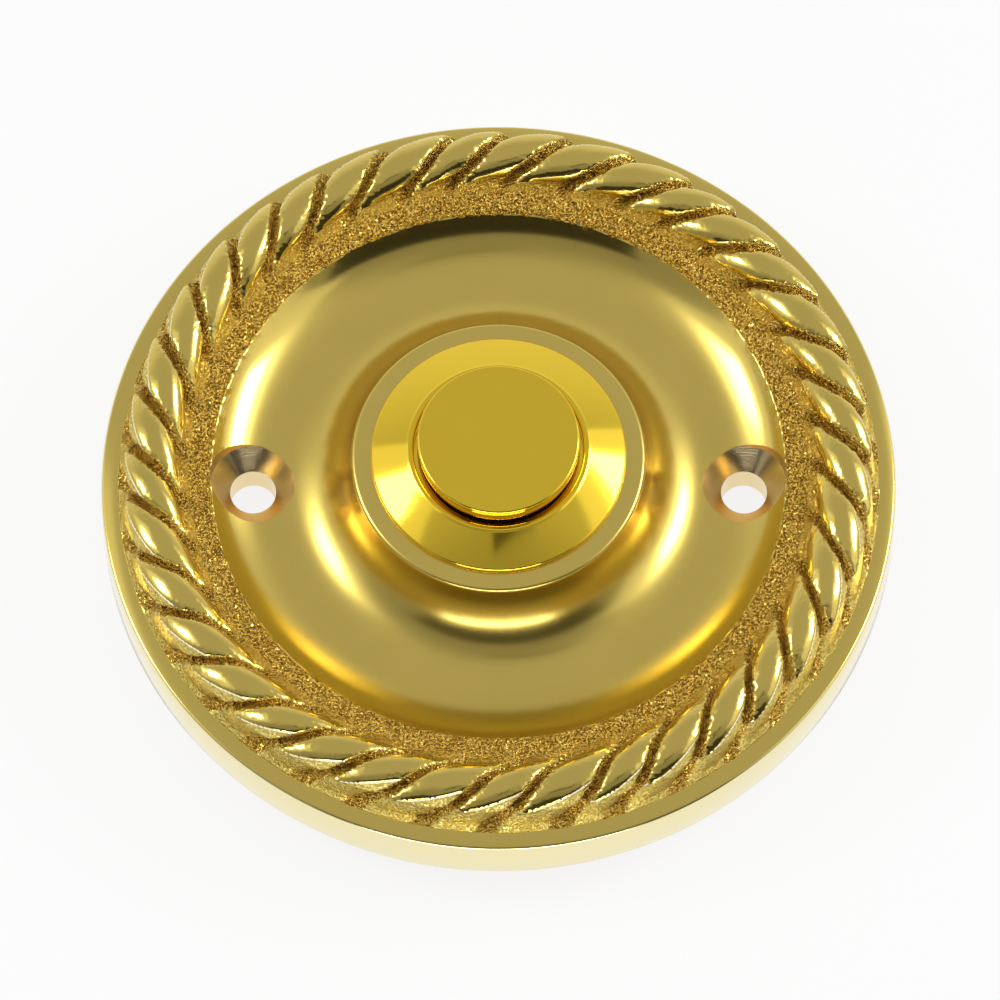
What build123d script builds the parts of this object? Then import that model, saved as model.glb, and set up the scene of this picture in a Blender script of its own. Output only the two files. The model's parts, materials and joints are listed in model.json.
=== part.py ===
from build123d import *
from math import asin, cos, degrees, radians, sin, tan
import os

os.makedirs("parts", exist_ok=True)

# A rope-edged brass bell push: a cast plate with a turned push insert in its hub.
# Millimetres. Z = 0 is the plate's back face and +Z points out of the wall.

# Cast plate
plate_diameter = 76.0
rim_edge_height = 5.4
rim_band_width = 1.65
rim_band_rise = 0.3
dish_floor_height = 4.9
cove_rise_share = 0.434
hub_margin = 1.9
hub_height = 11.6
hub_web = 6.0
flare_toe_radius = 8.2
flare_toe_sweep = 15.0

# Rope moulding
strand_count = 37
strand_start_angle = 4.5
rope_width = 7.3
rope_valley_width = 1.5
rope_foot_rise = 0.3
rope_crest_rise = 2.4
rope_crest_inset = 3.25
rope_shoulder_drop = 1.3
rope_flank_draft = 0.55
groove_lean = 43.0
groove_depth = 1.05
groove_half_angle = 52.0
groove_overrun = 0.4
rope_hollow_width = 4.6
rope_hollow_depth = 5.0

# Screw holes, countersunk for No. 8 wood screws and sized to the field between hub and rope
countersink_share = 0.6
screw_hole_share = 0.5432
countersink_angle = 90.0
countersink_drop = 0.2

# Push insert: conical flange, barrel and stepped bore
flange_overhang = 1.75
flange_edge = 0.45
bezel_height = 2.0
bezel_land_width = 0.35
bezel_inner_chamfer = 0.25
barrel_wall = 1.1
barrel_clearance = 0.2
barrel_tail = 2.5
base_ledge = 0.55

# Button and its travel
button_diameter = 15.5
button_gap = 0.35
button_proud = 2.0
button_edge_chamfer = 0.3
button_flange_width = 0.95
button_flange_thickness = 1.55
button_lash = 0.15
button_travel = 1.8
bezel_lip = 1.5
running_clearance = 0.05

# Plunger, contact disc and clip
socket_diameter = 5.0
socket_depth = 2.4
socket_floor_gap = 0.1
stem_diameter = 4.4
stem_length = 2.1
collar_diameter = 6.4
collar_thickness = 1.0
spigot_diameter = 3.2
spigot_length = 3.4
contact_disc_margin = 1.3
contact_disc_thickness = 0.6
disc_hole_clearance = 0.05
clip_diameter = 5.2
clip_thickness = 0.5

# Switch base, contacts and terminals
base_thickness = 4.2
base_clearance = 0.05
guide_clearance = 0.3
contact_inset = 4.95
contact_gap = 0.08
rivet_head_diameter = 2.0
rivet_head_height = 0.8
rivet_shank_diameter = 1.4
rivet_fit = 0.02
rivet_tail_height = 0.5
rivet_tail_diameter = 2.2
strip_thickness = 0.8
strip_width = 3.4
strip_rivet_margin = 1.4
strip_screw_margin = 1.8
terminal_gap = 0.3
terminal_hole_clearance = 0.1
terminal_screw_diameter = 2.5
terminal_screw_length = 3.4
terminal_screw_fit = 0.02
terminal_pilot_spare = 0.6
terminal_head_diameter = 4.0
terminal_head_height = 1.6
terminal_slot_width = 0.7
terminal_slot_depth = 0.7
terminal_washer_diameter = 4.4
terminal_washer_thickness = 0.6

# Ring below the base, and the fastening behind the hub
ring_thickness = 0.8
ring_grip = 0.45
ring_width = 1.55
ring_gap_width = 3.0
washer_margin = 3.1
washer_thickness = 0.8
nut_wall = 2.1
nut_thickness = 3.0
nut_recess_clearance = 0.5

# Coil spring between the base and the button
spring_wire = 0.7
spring_bore_gap = 0.8
spring_turns = 2

# Radii and heights that follow from the sizes above
button_radius = button_diameter / 2
aperture_radius = button_radius + button_gap
button_flange_radius = button_radius + button_flange_width
bore_radius = button_flange_radius + running_clearance
base_bore_radius = bore_radius + base_ledge
base_radius = base_bore_radius - base_clearance
barrel_radius = base_bore_radius + barrel_wall
ring_groove_radius = base_bore_radius + ring_grip
washer_radius = barrel_radius + washer_margin
nut_corner_radius = (barrel_radius + nut_wall) / cos(radians(30))
recess_radius = max(nut_corner_radius, washer_radius) + nut_recess_clearance
flange_radius = barrel_radius + flange_overhang
hub_radius = flange_radius + hub_margin

plate_radius = plate_diameter / 2
rope_outer_radius = plate_radius - rim_band_width
rope_inner_radius = rope_outer_radius - rope_width
rope_middle_radius = rope_outer_radius - rope_width / 2
rope_crest_radius = rope_outer_radius - rope_crest_inset
rope_shoulder_radius = rope_outer_radius - rope_flank_draft
rim_inner_height = rim_edge_height + rim_band_rise
dish_edge_radius = rope_inner_radius - rope_valley_width
flare_rise = cos(radians(flare_toe_sweep))
flare_run = sin(radians(flare_toe_sweep))
flare_drop = hub_height - dish_floor_height - flare_toe_radius * (1 - flare_rise)
flare_wall_radius = flare_drop / flare_rise
flare_toe_start = hub_radius + flare_wall_radius * (1 - flare_run)
dish_floor_radius = flare_toe_start + flare_toe_radius * flare_run
dish_edge_height = dish_floor_height + cove_rise_share * (dish_edge_radius - dish_floor_radius)
rope_foot_height = dish_edge_height + rope_foot_rise
rope_crest_height = rope_foot_height + rope_crest_rise
rope_shoulder_height = rope_crest_height - rope_shoulder_drop
countersink_radius = countersink_share * (dish_edge_radius - hub_radius) / 2
screw_hole_radius = screw_hole_share * countersink_radius
screw_radius = dish_edge_radius - countersink_radius
recess_depth = hub_height - hub_web

lip_top = hub_height + bezel_height
lip_bottom = lip_top - bezel_lip
button_top = lip_top + button_proud
button_flange_top = lip_bottom - button_lash
button_bottom = button_flange_top - button_flange_thickness

contact_disc_bottom = button_bottom - stem_length - collar_thickness - contact_disc_thickness
base_top = contact_disc_bottom - button_travel - contact_gap - rivet_head_height
base_bottom = base_top - base_thickness
ring_bottom = base_bottom - ring_thickness
barrel_bottom = ring_bottom - barrel_tail
strip_bottom = base_bottom - strip_thickness
spigot_radius = spigot_diameter / 2
contact_radius = base_radius - contact_inset
terminal_offset = (rivet_tail_diameter + terminal_washer_diameter) / 2 + terminal_gap
pilot_depth = terminal_screw_length - terminal_washer_thickness - strip_thickness + terminal_pilot_spare


def finish(piece, name):
    """Name a finished piece and write its STEP file."""
    piece.part.label = name
    export_step(piece.part, f"parts/{name}.step")


# Groove cutter: a V section swept over the rope's crown, leaning across the strands
groove_half_run = rope_width / 2 / cos(radians(groove_lean))
groove_sag = rope_crest_height - groove_depth - rope_foot_height
groove_arc_radius = (groove_half_run**2 + groove_sag**2) / (2 * groove_sag)
groove_half_sweep = degrees(asin((groove_half_run + groove_overrun) / groove_arc_radius))
groove_reach = groove_depth + rope_crest_height - rope_shoulder_height
groove_half_width = groove_reach * tan(radians(groove_half_angle))
with BuildPart() as groove_cutter:
    with BuildSketch(Plane.XZ) as groove_section:
        with BuildLine() as groove_outline:
            Polyline(
                (0, groove_arc_radius),
                (groove_half_width, groove_arc_radius + groove_reach),
                (-groove_half_width, groove_arc_radius + groove_reach),
                close=True,
            )
        make_face()
    revolve(axis=Axis.X, revolution_arc=2 * groove_half_sweep)
groove_centre_height = rope_crest_height - groove_depth - groove_arc_radius
groove_placed = (
    Pos(0, 0, groove_centre_height)
    * Rot(0, 0, 90 - groove_lean)
    * Rot(-groove_half_sweep, 0, 0)
    * groove_cutter.part
)

# Backplate: rim, rope, dished field and hub in one casting
with BuildPart() as backplate:
    with BuildSketch(Plane.XZ) as plate_section:
        with BuildLine() as plate_outline:
            barrel_hole_radius = barrel_radius + barrel_clearance
            Line((barrel_hole_radius, 0), (barrel_hole_radius, hub_height))
            Line((barrel_hole_radius, hub_height), (hub_radius, hub_height))
            TangentArc(
                (hub_radius, hub_height),
                (flare_toe_start, hub_height - flare_drop),
                tangent=(0, -1),
            )
            TangentArc(
                (flare_toe_start, hub_height - flare_drop),
                (dish_floor_radius, dish_floor_height),
                tangent=(flare_rise, -flare_run),
            )
            TangentArc(
                (dish_floor_radius, dish_floor_height),
                (dish_edge_radius, dish_edge_height),
                tangent=(1, 0),
            )
            Line((dish_edge_radius, dish_edge_height), (rope_inner_radius, rope_foot_height))
            ThreePointArc(
                (rope_inner_radius, rope_foot_height),
                (rope_crest_radius, rope_crest_height),
                (rope_shoulder_radius, rope_shoulder_height),
            )
            Polyline(
                (rope_shoulder_radius, rope_shoulder_height),
                (rope_outer_radius, rim_inner_height),
                (plate_radius, rim_edge_height),
                (plate_radius, 0),
                (barrel_hole_radius, 0),
            )
        make_face()
    revolve(axis=Axis.Z)
    with BuildSketch(Plane.XZ) as hollow_section:
        with Locations((rope_middle_radius, rope_hollow_depth / 2)):
            Rectangle(rope_hollow_width, rope_hollow_depth)
    revolve(axis=Axis.Z, mode=Mode.SUBTRACT)
    with BuildSketch(Plane.XY) as recess_section:
        Circle(recess_radius)
    extrude(amount=recess_depth, mode=Mode.SUBTRACT)
    with Locations(
        (screw_radius, 0, dish_floor_height + countersink_drop),
        (-screw_radius, 0, dish_floor_height + countersink_drop),
    ):
        CounterSinkHole(
            radius=screw_hole_radius,
            counter_sink_radius=countersink_radius,
            counter_sink_angle=countersink_angle,
        )
    with PolarLocations(rope_middle_radius, strand_count, strand_start_angle):
        add(groove_placed, mode=Mode.SUBTRACT)
finish(backplate, "backplate")

# Bezel: conical flange with a land at its inner edge, threaded barrel, stepped bore and ring groove
land_radius = aperture_radius + bezel_inner_chamfer + bezel_land_width
with BuildPart() as bezel:
    with BuildSketch(Plane.XZ) as bezel_section:
        with BuildLine() as bezel_outline:
            Polyline(
                (barrel_radius, barrel_bottom),
                (barrel_radius, hub_height),
                (flange_radius, hub_height),
                (flange_radius, hub_height + flange_edge),
                (land_radius, lip_top),
                (aperture_radius + bezel_inner_chamfer, lip_top),
                (aperture_radius, lip_top - bezel_inner_chamfer),
                (aperture_radius, lip_bottom),
                (bore_radius, lip_bottom),
                (bore_radius, base_top),
                (base_bore_radius, base_top),
                (base_bore_radius, base_bottom),
                (ring_groove_radius, base_bottom),
                (ring_groove_radius, ring_bottom),
                (base_bore_radius, ring_bottom),
                (base_bore_radius, barrel_bottom),
                close=True,
            )
        make_face()
    revolve(axis=Axis.Z)
finish(bezel, "bezel")

# Lock washer and hexagon nut in the recess behind the hub
nut_top = recess_depth - washer_thickness
with BuildPart() as lock_washer:
    with BuildSketch(Plane.XY.offset(nut_top)) as washer_section:
        Circle(washer_radius)
        Circle(barrel_radius + barrel_clearance, mode=Mode.SUBTRACT)
    extrude(amount=washer_thickness)
finish(lock_washer, "lock_washer")

with BuildPart() as lock_nut:
    with BuildSketch(Plane.XY.offset(nut_top)) as nut_section:
        RegularPolygon(nut_corner_radius, 6)
        Circle(barrel_radius, mode=Mode.SUBTRACT)
    extrude(amount=-nut_thickness)
finish(lock_nut, "lock_nut")

# Button: turned cap with a guide flange and a socket for the plunger
with BuildPart() as button:
    with BuildSketch(Plane.XZ) as button_section:
        with BuildLine() as button_outline:
            Polyline(
                (0, button_top),
                (button_radius - button_edge_chamfer, button_top),
                (button_radius, button_top - button_edge_chamfer),
                (button_radius, button_flange_top),
                (button_flange_radius, button_flange_top),
                (button_flange_radius, button_bottom),
                (socket_diameter / 2, button_bottom),
                (socket_diameter / 2, button_bottom + socket_depth),
                (0, button_bottom + socket_depth),
                close=True,
            )
        make_face()
    revolve(axis=Axis.Z)
finish(button, "button")

# Plunger: head in the button's socket, stem, collar and a guide spigot
contact_disc_top = contact_disc_bottom + contact_disc_thickness
clip_bottom = contact_disc_bottom - clip_thickness
spigot_bottom = contact_disc_bottom - spigot_length
with BuildPart() as plunger:
    with BuildSketch(Plane.XZ) as plunger_section:
        with BuildLine() as plunger_outline:
            Polyline(
                (0, button_bottom + socket_depth - socket_floor_gap),
                (socket_diameter / 2, button_bottom + socket_depth - socket_floor_gap),
                (socket_diameter / 2, button_bottom),
                (stem_diameter / 2, button_bottom),
                (stem_diameter / 2, contact_disc_top + collar_thickness),
                (collar_diameter / 2, contact_disc_top + collar_thickness),
                (collar_diameter / 2, contact_disc_top),
                (spigot_radius, contact_disc_top),
                (spigot_radius, spigot_bottom),
                (0, spigot_bottom),
                close=True,
            )
        make_face()
    revolve(axis=Axis.Z)
finish(plunger, "plunger")

with BuildPart() as contact_disc:
    with BuildSketch(Plane.XY.offset(contact_disc_bottom)) as disc_section:
        Circle(contact_radius + contact_disc_margin)
        Circle(spigot_radius + disc_hole_clearance, mode=Mode.SUBTRACT)
    extrude(amount=contact_disc_thickness)
finish(contact_disc, "contact_disc")

with BuildPart() as disc_clip:
    with BuildSketch(Plane.XY.offset(clip_bottom)) as clip_section:
        Circle(clip_diameter / 2)
        Circle(spigot_radius, mode=Mode.SUBTRACT)
    extrude(amount=clip_thickness)
finish(disc_clip, "disc_clip")

# Return spring: square-wire coil from the base up to the button's flange
spring_height = button_bottom - base_top
with BuildPart() as return_spring:
    with BuildLine() as spring_path:
        Helix(
            pitch=(spring_height - spring_wire) / spring_turns,
            height=spring_height - spring_wire,
            radius=bore_radius - spring_bore_gap - spring_wire / 2,
            center=(0, 0, base_top + spring_wire / 2),
        )
    with BuildSketch(Plane(spring_path.line @ 0, x_dir=(1, 0, 0), z_dir=spring_path.line % 0)):
        Rectangle(spring_wire, spring_wire)
    sweep(is_frenet=True)
finish(return_spring, "return_spring")

# Switch base: moulded disc with the plunger's guide hole and two rivet holes
with BuildPart() as switch_base:
    with BuildSketch(Plane.XY.offset(base_bottom)) as base_section:
        Circle(base_radius)
        Circle(spigot_radius + guide_clearance, mode=Mode.SUBTRACT)
        with PolarLocations(contact_radius, 2):
            Circle(rivet_shank_diameter / 2 + rivet_fit, mode=Mode.SUBTRACT)
    extrude(amount=base_thickness)
    with BuildSketch(Plane.XY.offset(base_bottom)) as pilot_section:
        with Locations((contact_radius, -terminal_offset), (-contact_radius, -terminal_offset)):
            Circle(terminal_screw_diameter / 2 + terminal_screw_fit)
    extrude(amount=pilot_depth, mode=Mode.SUBTRACT)
finish(switch_base, "switch_base")

# Retaining ring: split spring ring sprung into the barrel's groove
with BuildPart() as retaining_ring:
    with BuildSketch(Plane.XY.offset(ring_bottom)) as ring_section:
        Circle(ring_groove_radius)
        Circle(ring_groove_radius - ring_width, mode=Mode.SUBTRACT)
        with Locations((0, ring_groove_radius)):
            Rectangle(ring_gap_width, ring_groove_radius, mode=Mode.SUBTRACT)
    extrude(amount=ring_thickness)
finish(retaining_ring, "retaining_ring")

# Contacts and terminals, one set on each side
for side, direction in (("left", -1), ("right", 1)):
    side_x = direction * contact_radius
    with BuildPart() as contact_rivet:
        with BuildSketch(Plane(origin=(side_x, 0, 0), x_dir=(1, 0, 0), z_dir=(0, -1, 0))):
            with BuildLine():
                Polyline(
                    (0, base_top + rivet_head_height),
                    (0, strip_bottom - rivet_tail_height),
                    (rivet_tail_diameter / 2, strip_bottom - rivet_tail_height),
                    (rivet_tail_diameter / 2, strip_bottom),
                    (rivet_shank_diameter / 2, strip_bottom),
                    (rivet_shank_diameter / 2, base_top),
                    (rivet_head_diameter / 2, base_top),
                    (rivet_head_diameter / 2, base_top + rivet_head_height),
                    close=True,
                )
            make_face()
        revolve(axis=Axis((side_x, 0, 0), (0, 0, 1)))
    finish(contact_rivet, f"contact_rivet_{side}")

    with BuildPart() as terminal_strip:
        with BuildSketch(Plane.XY.offset(base_bottom)) as strip_section:
            with Locations((side_x, (strip_rivet_margin - strip_screw_margin - terminal_offset) / 2)):
                Rectangle(strip_width, strip_rivet_margin + terminal_offset + strip_screw_margin)
            with Locations((side_x, 0)):
                Circle(rivet_shank_diameter / 2 + rivet_fit, mode=Mode.SUBTRACT)
            with Locations((side_x, -terminal_offset)):
                Circle(terminal_screw_diameter / 2 + terminal_hole_clearance, mode=Mode.SUBTRACT)
        extrude(amount=-strip_thickness)
    finish(terminal_strip, f"terminal_strip_{side}")

    washer_top = strip_bottom
    with BuildPart() as terminal_washer:
        with BuildSketch(Plane.XY.offset(washer_top)):
            with Locations((side_x, -terminal_offset)):
                Circle(terminal_washer_diameter / 2)
                Circle(
                    terminal_screw_diameter / 2 + terminal_hole_clearance, mode=Mode.SUBTRACT
                )
        extrude(amount=-terminal_washer_thickness)
    finish(terminal_washer, f"terminal_washer_{side}")

    head_top = washer_top - terminal_washer_thickness
    with BuildPart() as terminal_screw:
        with BuildSketch(Plane.XY.offset(head_top)):
            with Locations((side_x, -terminal_offset)):
                Circle(terminal_head_diameter / 2)
        extrude(amount=-terminal_head_height)
        with BuildSketch(Plane.XY.offset(head_top)):
            with Locations((side_x, -terminal_offset)):
                Circle(terminal_screw_diameter / 2)
        extrude(amount=terminal_screw_length)
        with BuildSketch(Plane.XY.offset(head_top - terminal_head_height)):
            with Locations((side_x, -terminal_offset)):
                Rectangle(terminal_head_diameter, terminal_slot_width)
        extrude(amount=terminal_slot_depth, mode=Mode.SUBTRACT)
    finish(terminal_screw, f"terminal_screw_{side}")
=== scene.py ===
"""Looks for a rope-edged brass bell push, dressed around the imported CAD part."""
import json
import math

import bpy
import numpy as np
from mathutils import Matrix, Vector


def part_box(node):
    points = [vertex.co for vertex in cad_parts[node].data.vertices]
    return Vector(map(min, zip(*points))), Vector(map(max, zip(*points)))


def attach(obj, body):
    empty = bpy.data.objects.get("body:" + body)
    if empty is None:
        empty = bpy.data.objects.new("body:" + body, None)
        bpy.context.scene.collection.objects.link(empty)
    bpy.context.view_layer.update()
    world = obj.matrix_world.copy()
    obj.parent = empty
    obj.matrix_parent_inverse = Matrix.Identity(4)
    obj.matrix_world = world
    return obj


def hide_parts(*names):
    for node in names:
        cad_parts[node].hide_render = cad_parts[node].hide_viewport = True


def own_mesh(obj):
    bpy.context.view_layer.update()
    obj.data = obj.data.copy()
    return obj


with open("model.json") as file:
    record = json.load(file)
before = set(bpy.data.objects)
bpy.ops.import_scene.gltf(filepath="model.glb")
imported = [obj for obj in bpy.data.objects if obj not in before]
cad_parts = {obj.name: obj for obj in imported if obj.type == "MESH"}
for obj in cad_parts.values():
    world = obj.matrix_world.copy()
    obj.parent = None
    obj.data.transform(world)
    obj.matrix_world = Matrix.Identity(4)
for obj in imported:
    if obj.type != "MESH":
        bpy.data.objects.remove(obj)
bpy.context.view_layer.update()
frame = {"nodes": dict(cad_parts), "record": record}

MM = 0.001


def corners(node):
    """A CAD node's lowest and highest corner, in millimetres."""
    return [np.array(corner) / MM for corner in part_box(node)]


# Sizes read from the frame, in millimetres
plate_radius, _, hub_height = corners("backplate")[1]
flange_radius, _, lip_top = corners("bezel")[1]
barrel_bottom = corners("bezel")[0][2]
button_flange_radius, _, button_top = corners("button")[1]
button_bottom = corners("button")[0][2]
nut_top = corners("lock_nut")[1][2]
base_bottom, base_top = (corner[2] for corner in corners("switch_base"))
ring_bottom = corners("retaining_ring")[0][2]

# Field, hub, rim and back of the cast plate, in millimetres and degrees
barrel_hole_radius = 10.6
mouth_depth = 0.4
mouth_round = 0.15
hub_radius = 14.05
hub_edge_round = 0.4
flare_radius = 6.647
flare_sweep = 75.0
toe_radius = 8.2
dish_floor_radius = 21.1
dish_floor_height = 4.9
cove_radius = 8.83
cove_end_angle = 45.0
rim_band_radius = 36.35
rim_band_height = 5.7
rim_band_step = 0.1
rim_edge_height = 5.4
rim_round = 0.35
back_round = 0.25
hollow_inner_radius = 30.4
hollow_outer_radius = 35.0
hollow_depth = 5.0
hollow_round = 0.8
recess_radius = 14.93
recess_depth = 5.6
recess_round = 0.3
back_grain_and_shade = 0.5

# Screw holes
screw_radius = 23.5
screw_hole_radius = 2.2
countersink_radius = 4.05
countersink_top = 5.1
cutter_overrun = 1.0
cutter_axis_radius = 0.001

# Rope moulding: section, strands and the grooves that part them
crest_radius = 33.05
crest_height = 10.4
crown_inner_radius = 2.9
crown_inner_angle = 58.0
crown_outer_radius = 3.4
crown_outer_angle = 56.0
wall_foot_radius = 29.3
wall_foot_height = 8.15
valley_bend = 0.5
strand_count = 37
strand_seed = 37
strand_start = 4.4
strand_wander = 0.45
strand_lean = 1.35
strand_lean_range = (0.94, 1.06)
strand_bend = 0.10
strand_bend_reach = 4.6
groove_depth = 1.2
groove_depth_range = (0.9, 1.1)
groove_half_width = 0.5
groove_width_range = (0.85, 1.25)
groove_flare = 0.7
groove_flare_start = 1.5
groove_edge_wobble = 0.05
notch_share = 0.5
notch_curve = 0.8
roll_curve = 2.2

# Where each strand ends in a step, and how far the steps and the grooves fade
outer_end_reach = 3.7
outer_end_slant = 3.0
outer_end_curve = 1.3
outer_step = 0.28
outer_step_width = 0.45
inner_end_overlap = 0.2
inner_end_slant = 1.0
inner_end_curve = 1.5
inner_step = 0.30
inner_step_width = 0.6
foot_fade = 0.3
wall_top_fade = 0.2
rim_fade = 0.7

# Cast grain in the grooves and the valley
grain_height = 0.12
grain_share = 0.6
step_grain_share = 0.18
grain_start_radius = 27.5
grain_start_blend = 0.15
groove_blend = 0.1
valley_top_blend = 0.5
valley_low_blend = 0.2
wall_low_blend = 0.8
rim_satin = 0.4

# Push insert
aperture_radius = 8.1
bore_radius = 8.75
base_bore_radius = 9.3
ring_groove_radius = 9.75
barrel_radius = 10.4
lip_thickness = 1.5
flange_edge = 0.5
flange_edge_round = 0.3
flange_seat_round = 0.05
bead_width = 0.72
bead_rise = 0.12
bead_foot_round = 0.1
bead_land = 0.5
bead_outer_round = 0.15
bead_inner_round = 0.22
thread_pitch = 1.0
thread_depth = 0.35
thread_past_nut = 2.0
tail_chamfer = 0.2
tail_round = 0.1

# Button
button_radius = 7.75
button_edge_round = 0.3
button_flange_thickness = 1.55
button_flange_round = 0.1
button_axis_radius = 0.01
socket_radius = 2.5
socket_depth = 2.4

# Fineness of the meshes: points round a ring and along a section
field_columns = strand_count * 7
rope_columns = field_columns * 4
hole_columns = 128
turned_columns = 256
flare_points = 13
toe_points = 5
cove_points = 12
valley_points = 15
wall_points = 9
crown_inner_points = 21
crown_outer_points = 20
flank_points = 12
cast_steps = 3
turned_steps = 5
crease_angle = 38.0


def arc(centre, radius, start, end, count):
    """Points on an arc of a lathe section; angles in degrees from straight up, positive outwards."""
    angles = np.radians(np.linspace(start, end, count))
    return np.stack([centre[0] + radius * np.sin(angles), centre[1] + radius * np.cos(angles)], 1)


def rounded(corner_points, steps):
    """A lathe section through (radius, height, rounding) corners, each with its own rounding."""
    points = []
    spots = [np.array(corner[:2], float) for corner in corner_points]
    for i, (spot, corner) in enumerate(zip(spots, corner_points)):
        if corner[2] == 0 or i in (0, len(spots) - 1):
            points.append(spot)
            continue
        before = spots[i - 1] - spot
        after = spots[i + 1] - spot
        before /= np.linalg.norm(before)
        after /= np.linalg.norm(after)
        half = math.acos(np.clip(before @ after, -1, 1)) / 2
        reach = corner[2] / math.tan(half)
        middle = spot + (before + after) / np.linalg.norm(before + after) * corner[2] / math.sin(half)
        first = spot + before * reach - middle
        last = spot + after * reach - middle
        for share in np.linspace(0, 1, steps + 1):
            blend = first * (1 - share) + last * share
            points.append(middle + blend / np.linalg.norm(blend) * corner[2])
    return np.array(points)


def ring_mesh(name, rings):
    """A closed mesh from rings of points in millimetres.

    A ring may have a multiple of its neighbour's points.
    """
    counts = [len(ring) for ring in rings]
    firsts = np.cumsum([0] + counts[:-1])
    faces = []
    for row, count in enumerate(counts):
        after = (row + 1) % len(counts)
        cells = min(count, counts[after])
        here = np.arange(count // cells + 1)
        there = np.arange(counts[after] // cells + 1)
        for cell in range(cells):
            top = (firsts[row] + (cell * (len(here) - 1) + here) % count).tolist()
            bottom = (firsts[after] + (cell * (len(there) - 1) + there) % counts[after]).tolist()
            faces.append(top[:1] + bottom + top[:0:-1])
    mesh = bpy.data.meshes.new(name)
    mesh.from_pydata((np.concatenate(rings) * MM).tolist(), [], faces)
    mesh.shade_smooth()
    mesh.set_sharp_from_angle(angle=math.radians(crease_angle))
    obj = bpy.data.objects.new(name, mesh)
    bpy.context.scene.collection.objects.link(obj)
    return obj


def lathe(section, columns):
    """Rings of points from a lathe section of (radius, height) points."""
    turn = np.linspace(0, 2 * np.pi, columns, endpoint=False)
    return [np.stack([radius * np.cos(turn), radius * np.sin(turn), np.full(columns, height)], 1)
            for radius, height in section]


def smooth(low, high, value):
    """Smooth step from 0 at low to 1 at high."""
    share = np.clip((value - low) / (high - low), 0, 1)
    return share * share * (3 - 2 * share)


def cove_end():
    """Where the dish's cove runs out into the rope's valley, and its direction there."""
    angle = math.radians(cove_end_angle)
    spot = np.array([dish_floor_radius + cove_radius * math.sin(angle),
                     dish_floor_height + cove_radius * (1 - math.cos(angle))])
    return spot, np.array([math.cos(angle), math.sin(angle)])


def rope_section():
    """The rope's lathe section from the cove to the rim band, and its length measured from the crest."""
    inner_centre = (crest_radius, crest_height - crown_inner_radius)
    outer_centre = (crest_radius, crest_height - crown_outer_radius)
    inner = arc(inner_centre, crown_inner_radius, -crown_inner_angle, 0, crown_inner_points)
    outer = arc(outer_centre, crown_outer_radius, 0, crown_outer_angle, crown_outer_points)
    start, direction = cove_end()
    wall_foot = np.array([wall_foot_radius, wall_foot_height])
    bend = start + direction * valley_bend
    share = np.linspace(0, 1, valley_points)[:, None]
    valley = (1 - share) ** 2 * start + 2 * share * (1 - share) * bend + share**2 * wall_foot
    wall = np.linspace(wall_foot, inner[0], wall_points)[1:-1]
    flank = np.linspace(outer[-1], (rim_band_radius, rim_band_height), flank_points)
    section = np.concatenate([valley, wall, inner[:-1], outer[:-1], flank])
    run = np.concatenate([[0], np.cumsum(np.linalg.norm(np.diff(section, axis=0), axis=1))])
    return section, run - run[len(valley) + len(wall) + len(inner) - 1]


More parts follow.
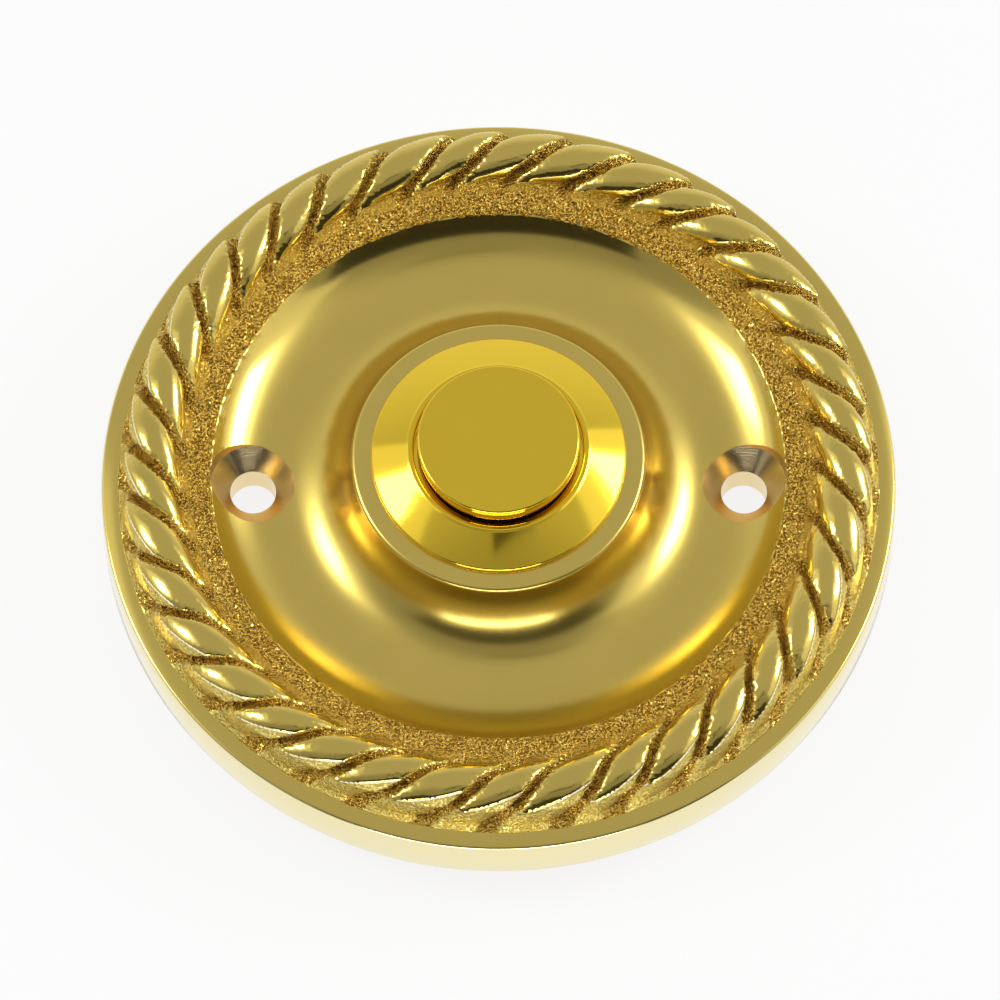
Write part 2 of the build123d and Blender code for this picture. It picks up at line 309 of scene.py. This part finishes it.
def rope_rings():
    """Rings over the rope moulding, with how granular or satin each point is and where the strands' inner step
    walls take a painted dark reflection.
    """
    section, run = rope_section()
    slope = np.gradient(section, run, axis=0)
    normal = np.stack([-slope[:, 1], slope[:, 0]], 1)
    wall_top = -crown_inner_radius * math.radians(crown_inner_angle)
    wall_foot = run[np.argmin(abs(section[:, 0] - wall_foot_radius))]
    rim_foot = run[-1]
    random = np.random.default_rng(strand_seed)
    turn = np.linspace(0, 2 * np.pi, rope_columns, endpoint=False)

    # Grooves: one on each side of a strand, leaning across the crown and bent towards the valley
    pitch = 360 / strand_count
    middle = strand_start + pitch * np.arange(strand_count) + random.normal(0, strand_wander, strand_count)
    lean = strand_lean * random.uniform(*strand_lean_range, strand_count)
    inward = np.clip(-run, 0, strand_bend_reach)[:, None]
    grooves = np.radians(middle - lean * run[:, None] + strand_bend * inward**2)
    across = math.cos(math.atan(math.radians(strand_lean) * crest_radius))
    half_strand = math.pi * crest_radius / strand_count * across

    # Each point's share of the way across its strand, its distance to a groove and that groove's size
    share = np.zeros((len(section), rope_columns))
    edge = np.zeros_like(share)
    half = np.zeros_like(share)
    deep = np.zeros_like(share)
    for strand in range(strand_count):
        span = (grooves[:, [(strand + 1) % strand_count]] - grooves[:, [strand]]) % (2 * np.pi)
        along = (turn - grooves[:, [strand]]) % (2 * np.pi)
        inside = along < span
        share = np.where(inside, along / span, share)
        edge = np.where(inside, np.minimum(along, span - along) * section[:, [0]] * across, edge)
        half[inside] = groove_half_width * random.uniform(*groove_width_range)
        deep[inside] = groove_depth * random.uniform(*groove_depth_range)

    # How far each point is sunk below the crown
    length = run[:, None]
    half *= 1 + groove_flare * smooth(groove_flare_start, rim_foot, length)
    edge = edge + groove_edge_wobble * random.normal(0, 1, share.shape)
    notch = np.clip(1 - edge / half, 0, 1) ** notch_curve
    roll = np.clip(1 - edge / half_strand, 0, 1) ** roll_curve
    outer_end = outer_end_reach - outer_end_slant * share**outer_end_curve
    inner_end = wall_top + inner_end_slant * (1 - share) ** inner_end_curve - inner_end_overlap
    outer_drop = smooth(0, outer_step_width, length - outer_end)
    inner_drop = smooth(0, inner_step_width, inner_end - length)
    fade = smooth(wall_foot - foot_fade, wall_top + wall_top_fade, length)
    fade = fade * smooth(rim_foot, rim_foot - rim_fade, length)
    rolled = deep * (notch_share * notch + (1 - notch_share) * roll)
    sunk = fade * (rolled + outer_step * outer_drop + inner_step * inner_drop)

    # Granular places, which also get an uneven surface
    in_groove = smooth(half + groove_blend, half - groove_blend, edge) * smooth(wall_foot, wall_top, length)
    in_valley = smooth(wall_foot + valley_top_blend, wall_foot - valley_low_blend, length)
    in_valley = in_valley * smooth(grain_start_radius - grain_start_blend,
                                   grain_start_radius + grain_start_blend, section[:, [0]])
    grain = np.maximum(in_groove, in_valley)
    # The strands' inner step walls: rougher and a little grainy, and coloured with a painted dark reflection
    # of the dish in the cast brass.
    on_wall = smooth(wall_foot - wall_low_blend, wall_foot - valley_low_blend, length)
    wall = inner_drop * (1 - in_valley) * on_wall
    ripple = random.normal(0, 1, share.shape)
    ripple = (ripple + np.roll(ripple, 1, 0) + np.roll(ripple, 1, 1) + np.roll(ripple, (1, 1), (0, 1))) / 2
    uneven = np.maximum(grain_share * grain, step_grain_share * np.maximum(outer_drop, wall))
    sunk += grain_height * ripple * uneven
    sunk[[0, -1]] = 0
    outer_drop[-1] = rim_satin
    radius = section[:, [0]] - sunk * normal[:, [0]]
    height = section[:, [1]] - sunk * normal[:, [1]]
    rings = np.stack([radius * np.cos(turn), radius * np.sin(turn), height], -1)
    return list(rings), {"grain": grain, "satin": outer_drop, "wall": wall}


def backplate(cast, seat):
    """The casting: hub, dished field, rope moulding, rim and hollow back, with two countersunk holes."""
    below_hub_edge = (hub_radius, hub_height - 1, 0)
    land = rounded([(barrel_hole_radius, hub_height - mouth_depth, 0),
                    (barrel_hole_radius, hub_height, mouth_round),
                    (hub_radius, hub_height, hub_edge_round), below_hub_edge], cast_steps)[:-1]
    flare_start = -90 - math.degrees(math.asin(hub_edge_round / flare_radius))
    flare_end = -90 - flare_sweep
    flare = arc((hub_radius + flare_radius, hub_height), flare_radius, flare_start, flare_end, flare_points)
    toe_centre = (dish_floor_radius, dish_floor_height + toe_radius)
    toe = arc(toe_centre, toe_radius, flare_end, -180, toe_points)[1:]
    cove_centre = (dish_floor_radius, dish_floor_height + cove_radius)
    cove = arc(cove_centre, cove_radius, -180, -180 - cove_end_angle, cove_points)[1:-1]
    field = np.concatenate([land, flare, toe, cove])
    rope, masks = rope_rings()

    band_slope = (rim_edge_height - rim_band_height) / (plate_radius - rim_band_radius)
    band = [(rim_band_radius + rim_band_step, rim_band_height + rim_band_step * band_slope, 0),
            (plate_radius, rim_edge_height, rim_round), (plate_radius, 0, back_round),
            (hollow_outer_radius, 0, 0)]
    behind = [(hollow_outer_radius, hollow_depth, hollow_round),
              (hollow_inner_radius, hollow_depth, hollow_round), (hollow_inner_radius, 0, 0),
              (recess_radius, 0, recess_round), (recess_radius, recess_depth, 0),
              (barrel_hole_radius, recess_depth, 0)]
    rim = rounded(band + behind, cast_steps)
    back = np.zeros((len(rim), field_columns))
    # The back takes half of every mask: grain, satin and the painted dark reflection of the inner walls.
    back[len(rounded(band, cast_steps)):] = back_grain_and_shade

    plate = ring_mesh("backplate_cast", lathe(field, field_columns) + rope + lathe(rim, field_columns))
    for name, over_rope in masks.items():
        values = [np.zeros(len(field) * field_columns), over_rope.reshape(-1), back.reshape(-1)]
        mask = plate.data.attributes.new(name, "FLOAT", "POINT")
        mask.data.foreach_set("value", np.concatenate(values).astype(np.float32))
    paint(plate, cast, seat)
    cut_screw_holes(plate, seat)
    return plate


def cut_screw_holes(plate, seat):
    """Cuts both countersunk holes; the cut faces take the seat's finish and a crisp edge."""
    cone_depth = countersink_radius - screw_hole_radius
    cutter_section = np.array([
        (cutter_axis_radius, -cutter_overrun), (screw_hole_radius, -cutter_overrun),
        (screw_hole_radius, countersink_top - cone_depth), (countersink_radius, countersink_top),
        (countersink_radius, hub_height), (cutter_axis_radius, hub_height)])
    for side in (-1, 1):
        rings = [ring + np.array((side * screw_radius, 0, 0)) for ring in lathe(cutter_section, hole_columns)]
        cutter = ring_mesh("screw_hole_cutter", rings[::-1])
        paint(cutter, seat)
        cut = plate.modifiers.new("screw_hole", "BOOLEAN")
        cut.operation = "DIFFERENCE"
        cut.solver = "EXACT"
        cut.material_mode = "TRANSFER"
        cut.object = cutter
        bpy.context.view_layer.objects.active = plate
        bpy.ops.object.modifier_apply(modifier=cut.name)
        bpy.data.objects.remove(cutter)
    mesh = plate.data
    edges = np.concatenate([[mesh.loops[i].edge_index for i in face.loop_indices] for face in mesh.polygons])
    seats = np.concatenate([[face.material_index > 0] * face.loop_total for face in mesh.polygons])
    for edge in np.flatnonzero(np.bincount(edges, seats, len(mesh.edges)) == 1):
        mesh.edges[edge].use_edge_sharp = True


def bezel():
    """The push insert: conical flange with a beaded mouth, ringed barrel for the thread and stepped bore."""
    lip_bottom = lip_top - lip_thickness
    thread_top = nut_top + thread_past_nut
    thread = [(barrel_radius, thread_top, 0)]
    for turn in range(int((thread_top - barrel_bottom) / thread_pitch)):
        top = thread_top - turn * thread_pitch
        thread += [(barrel_radius - thread_depth, top - thread_pitch / 2, 0),
                   (barrel_radius, top - thread_pitch, 0)]
    tail = (barrel_radius - tail_chamfer, barrel_bottom, 0)
    flange = [(barrel_radius, hub_height, 0), (flange_radius, hub_height, flange_seat_round),
              (flange_radius, hub_height + flange_edge, flange_edge_round)]
    mouth = [(aperture_radius + bead_width, lip_top - bead_rise, bead_foot_round),
             (aperture_radius + bead_land, lip_top, bead_outer_round),
             (aperture_radius, lip_top, bead_inner_round), (aperture_radius, lip_bottom, 0)]
    bore = [(bore_radius, lip_bottom, 0), (bore_radius, base_top, 0), (base_bore_radius, base_top, 0),
            (base_bore_radius, base_bottom, 0), (ring_groove_radius, base_bottom, 0),
            (ring_groove_radius, ring_bottom, 0), (base_bore_radius, ring_bottom, 0),
            (base_bore_radius, barrel_bottom, tail_round)]
    section = rounded([tail] + thread[::-1] + flange + mouth + bore + [tail], turned_steps)[:-1]
    return ring_mesh("bezel_turned", lathe(section[::-1], turned_columns))


def button():
    """The push: a flat cap with a rounded edge on a guide flange."""
    flange_top = button_bottom + button_flange_thickness
    socket_top = button_bottom + socket_depth
    section = rounded([(button_axis_radius, button_top, 0), (button_radius, button_top, button_edge_round),
                       (button_radius, flange_top, 0), (button_flange_radius, flange_top, button_flange_round),
                       (button_flange_radius, button_bottom, button_flange_round),
                       (socket_radius, button_bottom, 0), (socket_radius, socket_top, 0),
                       (button_axis_radius, socket_top, 0)], turned_steps)
    return ring_mesh("button_cap", lathe(section, turned_columns))


def return_spring():
    """The coil under the button: the CAD spring's own shape, as a piece of its own."""
    coil = bpy.data.objects.new("return_spring_coil", frame["nodes"]["return_spring"].data.copy())
    bpy.context.scene.collection.objects.link(coil)
    return coil


class Wire:
    """One shader socket; arithmetic on it adds Math nodes to its tree."""

    def __init__(self, nodes, socket):
        self.nodes = nodes
        self.socket = socket

    def other(self, output):
        """Another output of the same node."""
        return Wire(self.nodes, self.socket.node.outputs[output])

    def math(self, operation, *values):
        return self.nodes.add("ShaderNodeMath", {"operation": operation}, dict(enumerate(values)))

    def __add__(self, other):
        return self.math("ADD", self, other)

    def __radd__(self, other):
        return self.math("ADD", other, self)

    def __sub__(self, other):
        return self.math("SUBTRACT", self, other)

    def __rsub__(self, other):
        return self.math("SUBTRACT", other, self)

    def __mul__(self, other):
        return self.math("MULTIPLY", self, other)

    def __rmul__(self, other):
        return self.math("MULTIPLY", other, self)

    def __truediv__(self, other):
        return self.math("DIVIDE", self, other)

    def __rtruediv__(self, other):
        return self.math("DIVIDE", other, self)

    def __abs__(self):
        return self.math("ABSOLUTE", self)

    def root(self):
        return self.math("SQRT", self)

    def larger(self, other):
        return self.math("MAXIMUM", self, other)


class Nodes:
    """A node tree, and the nodes that are added to it."""

    def __init__(self, tree):
        self.tree = tree

    def add(self, kind, settings=None, values=None, out=0):
        """Adds a node: its settings first, then its sockets' values or links; gives one output."""
        node = self.tree.nodes.new(kind)
        for key, value in (settings or {}).items():
            setattr(node, key, value)
        self.feed(node, values or {})
        return Wire(self, node.outputs[out])

    def feed(self, node, values):
        """Sets or links a node's sockets."""
        for key, value in values.items():
            if isinstance(value, Wire):
                self.tree.links.new(value.socket, node.inputs[key])
            else:
                node.inputs[key].default_value = value

    def step(self, value, low, high):
        """Smooth step of a value from 0 at low to 1 at high."""
        return self.add("ShaderNodeMapRange", {"interpolation_type": "SMOOTHSTEP"},
                        {"Value": value, "From Min": low, "From Max": high})


class Finish(Nodes):
    """A material's node tree with its Principled shader."""

    def __init__(self, name):
        self.material = bpy.data.materials.new(name)
        self.material.use_nodes = True
        super().__init__(self.material.node_tree)
        self.surface = self.tree.nodes["Principled BSDF"]
        self.place = self.add("ShaderNodeTexCoord", out="Object")

    def mask(self, name):
        """A mask painted on the points of the mesh, 0 to 1."""
        return self.add("ShaderNodeAttribute", {"attribute_name": name}, out="Fac")

    def noise(self, size, detail=2.0, rough=0.5):
        """Noise with features of about that size in millimetres, 0 to 1."""
        return self.add("ShaderNodeTexNoise", values={
            "Vector": self.place, "Scale": 1 / (size * MM), "Detail": detail, "Roughness": rough})

    def mix(self, share, first, second):
        """Mixes two colours."""
        return self.add("ShaderNodeMix", {"data_type": "RGBA"}, {0: share, 6: first, 7: second}, out=2)

    def bump(self, height, depth):
        """A bump of that depth in millimetres where height is 1."""
        return self.add("ShaderNodeBump", values={"Height": height, "Distance": depth * MM, "Strength": 1.0})

    def feed_surface(self, **sockets):
        """Feeds the Principled shader's sockets, named with underscores for spaces; gives the material."""
        self.feed(self.surface, {key.replace("_", " "): value for key, value in sockets.items()})
        return self.material


def from_axis(finish, offset=0.0):
    """Distance in millimetres from the lathe axis, or from the axes at that offset on both sides."""
    sideways = finish.add("ShaderNodeSeparateXYZ", values={0: finish.place}, out="X")
    upwards = sideways.other("Y")
    side = abs(sideways) - offset * MM
    return (side * side + upwards * upwards).root() / MM


def turning_marks(finish, distance, width):
    """Fine uneven rings that a lathe tool leaves, 0 to 1."""
    return finish.add("ShaderNodeTexNoise", {"noise_dimensions": "1D"},
                      {"W": distance, "Scale": 1 / width, "Detail": 2.0})


def cast_brass():
    """Cast brass: polished high up, satin on the rope's flanks, granular where the sand left it, with a
    painted sheen on the side wall, painted highlights on the strands' facet edges and a painted dark
    reflection on their inner step walls.
    """
    grain_size = 0.24
    patch_size = 1.1
    cloud_size = 6.0
    grain_relief = 0.11
    satin_dish_radius = 24.8
    bright_dish_radius = 26.2
    finish = Finish("cast_brass")
    grain_mask = finish.mask("grain")
    satin_mask = finish.mask("satin")
    wall_mask = finish.mask("wall")
    grain = finish.noise(grain_size, 2.0, 0.6)
    lumps = finish.step(grain, 0.30, 0.64)
    patches = finish.noise(patch_size, 1.0)
    cloud = finish.noise(cloud_size)
    distance = from_axis(finish)

    # Where each surface lies; the grain frays the borders
    raw = finish.step(grain_mask + wall_mask * (patches - 0.15) + (grain - 0.5) * 0.6, 0.35, 0.65)
    satin = finish.step(satin_mask + (grain - 0.5) * 0.3, 0.35, 0.65)
    wall = finish.step(wall_mask + (grain - 0.5) * 0.3, 0.35, 0.65)
    rough_cast = satin.larger(wall)
    # Painted highlight: a thin pale line along the edges of the strands' polished facets, kept off the rim
    # band.
    painted_edge_highlight = finish.step(satin_mask, 0.02, 0.08) * finish.step(satin_mask, 0.58, 0.42)
    painted_edge_highlight = painted_edge_highlight * finish.step(distance, rim_band_radius - 0.3, rim_band_radius - 0.7)
    # Painted sheen: the outer side wall is coloured pale, as if lit by the bright floor that it mirrors.
    painted_side_wall_sheen = finish.step(distance, plate_radius - 0.25, plate_radius - 0.05)
    in_dish = finish.step(distance, bright_dish_radius, satin_dish_radius)

    polish = finish.mix(cloud, (0.76, 0.57, 0.125, 1), (0.70, 0.53, 0.11, 1))
    flank = finish.mix(lumps, (0.50, 0.36, 0.06, 1), (0.82, 0.66, 0.20, 1))
    # Painted dark reflection: brown for the inner step walls, where they would mirror the dish.
    painted_dark_reflection = finish.mix(lumps, (0.40, 0.22, 0.025, 1), (0.62, 0.39, 0.06, 1))
    pitted = finish.mix(patches, (0.20, 0.09, 0.010, 1), (0.38, 0.21, 0.03, 1))
    grain_tops = finish.mix(patches, (0.60, 0.38, 0.06, 1), (0.84, 0.60, 0.14, 1))
    gold = finish.mix(lumps, pitted, grain_tops)
    # Painted sheen on the side wall.
    polish = finish.mix(painted_side_wall_sheen, polish, (0.91, 0.81, 0.44, 1))
    # Painted highlight on the facet edges, laid over the satin flank colour.
    polish = finish.mix(painted_edge_highlight, finish.mix(satin, polish, flank), (1.0, 0.93, 0.62, 1))
    # Painted dark reflection on the inner step walls, then the cast grain over it.
    colour = finish.mix(raw, finish.mix(wall, polish, painted_dark_reflection), gold)

    roughness = 0.13 + 0.04 * cloud + 0.10 * in_dish + 0.13 * rough_cast * (1 - raw)
    relief = finish.bump(lumps * (raw + 0.55 * rough_cast * (1 - raw)), grain_relief)
    return finish.feed_surface(Base_Color=colour, Metallic=1.0, Roughness=roughness, Normal=relief,
                               Coat_Weight=0.5 * (1 - raw) * (1 - rough_cast), Coat_Roughness=0.12)


def turned_brass():
    """Turned brass, polished close to a mirror, with faint turning lines."""
    mark_width = 0.12
    mark_relief = 0.0005
    finish = Finish("turned_brass")
    cloud = finish.noise(4.0)
    colour = finish.mix(cloud, (0.95, 0.67, 0.05, 1), (0.91, 0.63, 0.045, 1))
    relief = finish.bump(turning_marks(finish, from_axis(finish), mark_width), mark_relief)
    return finish.feed_surface(Base_Color=colour, Metallic=1.0, Roughness=0.08 + 0.04 * cloud, Normal=relief,
                               Coat_Weight=0.15, Coat_Roughness=0.06)


def screw_seat_brass():
    """Bare brass where the countersink tool cut, ringed by its chatter."""
    mark_width = 0.10
    mark_relief = 0.003
    finish = Finish("screw_seat_brass")
    marks = turning_marks(finish, from_axis(finish, screw_radius), mark_width)
    colour = finish.mix(marks, (0.96, 0.80, 0.46, 1), (0.80, 0.60, 0.30, 1))
    relief = finish.bump(marks, mark_relief)
    return finish.feed_surface(Base_Color=colour, Metallic=1.0, Roughness=0.2, Normal=relief)


def plain_metal(name, colour, rough):
    """A plain metal with slight variation over its surface."""
    finish = Finish(name)
    cloud = finish.noise(1.5)
    dark = tuple(0.85 * channel for channel in colour) + (1,)
    mixed = finish.mix(cloud, colour + (1,), dark)
    return finish.feed_surface(Base_Color=mixed, Metallic=1.0, Roughness=rough + 0.1 * cloud)


def switch_plastic():
    """Dark moulded plastic."""
    finish = Finish("switch_plastic")
    cloud = finish.noise(0.8)
    colour = finish.mix(cloud, (0.045, 0.035, 0.03, 1), (0.07, 0.06, 0.05, 1))
    return finish.feed_surface(Base_Color=colour, Roughness=0.4 + 0.15 * cloud)


def paint(obj, *materials):
    """Gives a piece these materials, in order, in place of any that it had."""
    obj.data.materials.clear()
    for material in materials:
        obj.data.materials.append(material)


def dress(obj, body, nodes):
    """Hangs a piece on its body in place of its CAD nodes."""
    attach(obj, body)
    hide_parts(*nodes)


def floor():
    """A plain white floor under the object, lifted towards white where it is looked at or mirrored."""
    half_width = 3.0
    gap = 0.0005
    lift = 0.85
    level = barrel_bottom * MM - gap
    mesh = bpy.data.meshes.new("floor")
    mesh.from_pydata([(-half_width, -half_width, level), (half_width, -half_width, level),
                      (half_width, half_width, level), (-half_width, half_width, level)], [], [(0, 1, 2, 3)])
    obj = bpy.data.objects.new("floor", mesh)
    bpy.context.scene.collection.objects.link(obj)
    finish = Finish("white_floor")
    paper = finish.feed_surface(Base_Color=(0.9, 0.9, 0.9, 1), Roughness=0.9)
    seen = finish.add("ShaderNodeLightPath", out="Is Camera Ray")
    mirrored = seen.other("Is Glossy Ray")
    glow = finish.add("ShaderNodeEmission", values={"Color": (1, 1, 1, 1), "Strength": 1.0})
    lifted = finish.add("ShaderNodeMixShader", values={
        0: lift * seen.larger(mirrored), 1: Wire(finish, finish.surface.outputs[0]), 2: glow})
    finish.feed(finish.tree.nodes["Material Output"], {"Surface": lifted})
    mesh.materials.append(paper)


def around(azimuth, elevation, distance):
    """A spot round the object: azimuth from the front (-Y) towards +X, in degrees."""
    turn = math.radians(azimuth)
    rise = math.radians(elevation)
    level = distance * math.cos(rise)
    return (level * math.sin(turn), -level * math.cos(turn), distance * math.sin(rise))


def lamp(name, spot, size, power):
    """A rectangular softbox aimed at the object."""
    light = bpy.data.lights.new(name, "AREA")
    light.shape = "RECTANGLE"
    light.size, light.size_y = size
    light.energy = power
    obj = bpy.data.objects.new(name, light)
    obj.location = Vector(spot)
    obj.rotation_euler = (-Vector(spot)).to_track_quat("-Z", "Y").to_euler()
    bpy.context.scene.collection.objects.link(obj)


def dark_window(nodes, toward, azimuth, elevation, size):
    """1 inside a dark window of the room, centred on a direction; its size is at a distance of one."""
    soft_edge = 0.01
    centre = Vector(around(azimuth, elevation, 1))
    right = Vector(around(azimuth + 90, 0, 1))
    ahead, across, up = (
        nodes.add("ShaderNodeVectorMath", {"operation": "DOT_PRODUCT"}, {0: toward, 1: tuple(axis)},
                  out="Value")
        for axis in (centre, right, centre.cross(right)))
    inside = nodes.step(ahead, 0.1, 0.2)
    for reach, side in zip(size, (across, up)):
        inside = inside * nodes.step(abs(side / ahead), reach / 2 + soft_edge, reach / 2 - soft_edge)
    return inside


def studio_world():
    """The room: white to the camera; to the metal, brighter low at the back and dark in two windows."""
    room = bpy.data.worlds.new("studio")
    room.use_nodes = True
    nodes = Nodes(room.node_tree)
    toward = nodes.add("ShaderNodeTexCoord", out="Generated")
    depth = nodes.add("ShaderNodeSeparateXYZ", values={0: toward}, out="Y")
    low_back = nodes.step(depth.other("Z"), 0.75, 0.15) * nodes.step(depth, 0.1, 0.8)
    front = nodes.step(depth, -0.1, -0.5)
    front_flag = dark_window(nodes, toward, 6, 33, (1.69, 0.535))
    lens_hood = dark_window(nodes, toward, 20, 69.3, (0.354, 0.066))
    level = 0.54 + 0.30 * low_back - 0.20 * front
    level = level * (1 - 0.90 * front_flag) * (1 - 0.85 * lens_hood)
    seen = nodes.add("ShaderNodeLightPath", out="Is Camera Ray")
    glow = nodes.add("ShaderNodeMix", {"data_type": "FLOAT"}, {0: seen, 2: level, 3: 1.0})
    nodes.feed(nodes.tree.nodes["Background"], {"Color": (1, 1, 1, 1), "Strength": glow})
    bpy.context.scene.world = room


def camera():
    """The photograph's view: from in front and well above, through a long lens."""
    target = Vector((0.14, 0.68, 0)) * MM
    elevation = math.radians(65.67)
    distance = 1.2
    frame_width = 96.02 * MM
    lens = bpy.data.cameras.new("camera")
    lens.sensor_width = 36
    lens.lens = lens.sensor_width * distance / frame_width
    lens.clip_end = 10
    obj = bpy.data.objects.new("camera", lens)
    back = Vector((0, -math.cos(elevation), math.sin(elevation)))
    obj.location = target + back * distance
    obj.rotation_euler = (-back).to_track_quat("-Z", "Y").to_euler()
    bpy.context.scene.collection.objects.link(obj)
    bpy.context.scene.camera = obj


# Finishes of the pieces, by the material slots of the record
finishes = {
    "turned_brass": turned_brass(),
    "zinc_steel": plain_metal("zinc_steel", (0.60, 0.61, 0.62), 0.3),
    "spring_wire": plain_metal("spring_wire", (0.48, 0.49, 0.50), 0.25),
    "contact_brass": plain_metal("contact_brass", (0.72, 0.52, 0.22), 0.3),
    "switch_plastic": switch_plastic(),
}

# The four pieces that stand in for their CAD nodes
plate = backplate(cast_brass(), screw_seat_brass())
dress(plate, "housing", ["backplate"])
insert = bezel()
paint(insert, finishes["turned_brass"])
dress(insert, "housing", ["bezel"])
cap = button()
paint(cap, finishes["turned_brass"])
dress(cap, "push", ["button"])
coil = return_spring()
paint(coil, finishes["spring_wire"])
dress(coil, "housing", ["return_spring"])
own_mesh(coil)

# The CAD nodes that show as they are
for part in frame["record"]["subparts"]:
    if part["material_slot"] in finishes:
        paint(frame["nodes"][part["node"]], finishes[part["material_slot"]])

# The studio
floor()
studio_world()
lamp("left_softbox", around(-97, 42, 0.8), (0.24, 0.26), 1.5)
lamp("left_halo", around(-97, 40, 0.9), (0.70, 0.62), 0.5)
lamp("right_softbox", around(104, 36, 0.8), (0.34, 0.22), 2.2)
lamp("right_halo", around(96, 36, 0.9), (1.0, 0.55), 0.8)
lamp("front_strip", around(0, 12, 0.8), (0.8, 0.17), 2.4)
camera()
bpy.context.scene.view_settings.view_transform = "Standard"
